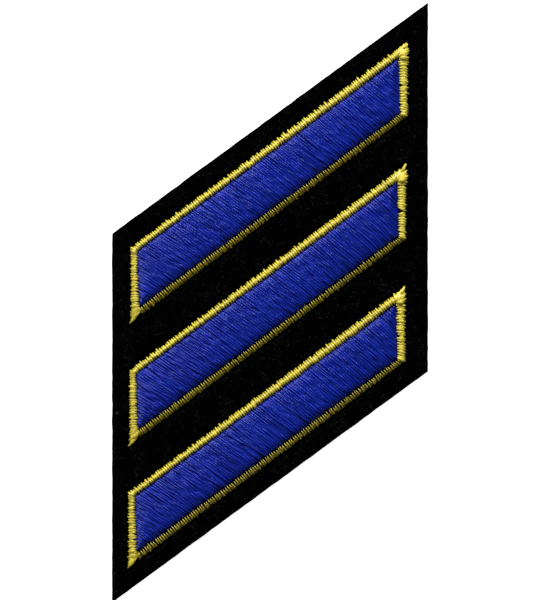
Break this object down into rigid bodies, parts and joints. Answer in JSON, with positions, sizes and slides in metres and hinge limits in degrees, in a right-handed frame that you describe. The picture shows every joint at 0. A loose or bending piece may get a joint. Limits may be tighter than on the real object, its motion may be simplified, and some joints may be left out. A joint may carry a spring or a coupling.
{
  "type": "service stripe",
  "caption": "Slanted black felt sleeve patch with parallel embroidered bars, each a blue satin fill inside a gold satin-stitched border.",
  "frame": {"origin": "middle of the felt's back face, which lies on the surface it is laid on or sewn to", "axes": "+Z out of the embroidered face, +Y up the sleeve along the upright cut edges, +X across it towards the high end of the stripes"},
  "size_m": [0.05, 0.095, 0.0024],
  "materials": {
    "felt": "matte",
    "blue_thread": "satin",
    "gold_thread": "satin"
  },
  "bodies": {
    "root": {"felt_backing": "felt", "stripe_1_fill": "blue_thread", "stripe_1_border": "gold_thread", "stripe_2_fill": "blue_thread", "stripe_2_border": "gold_thread", "stripe_3_fill": "blue_thread", "stripe_3_border": "gold_thread"}
  },
  "joints": []
}
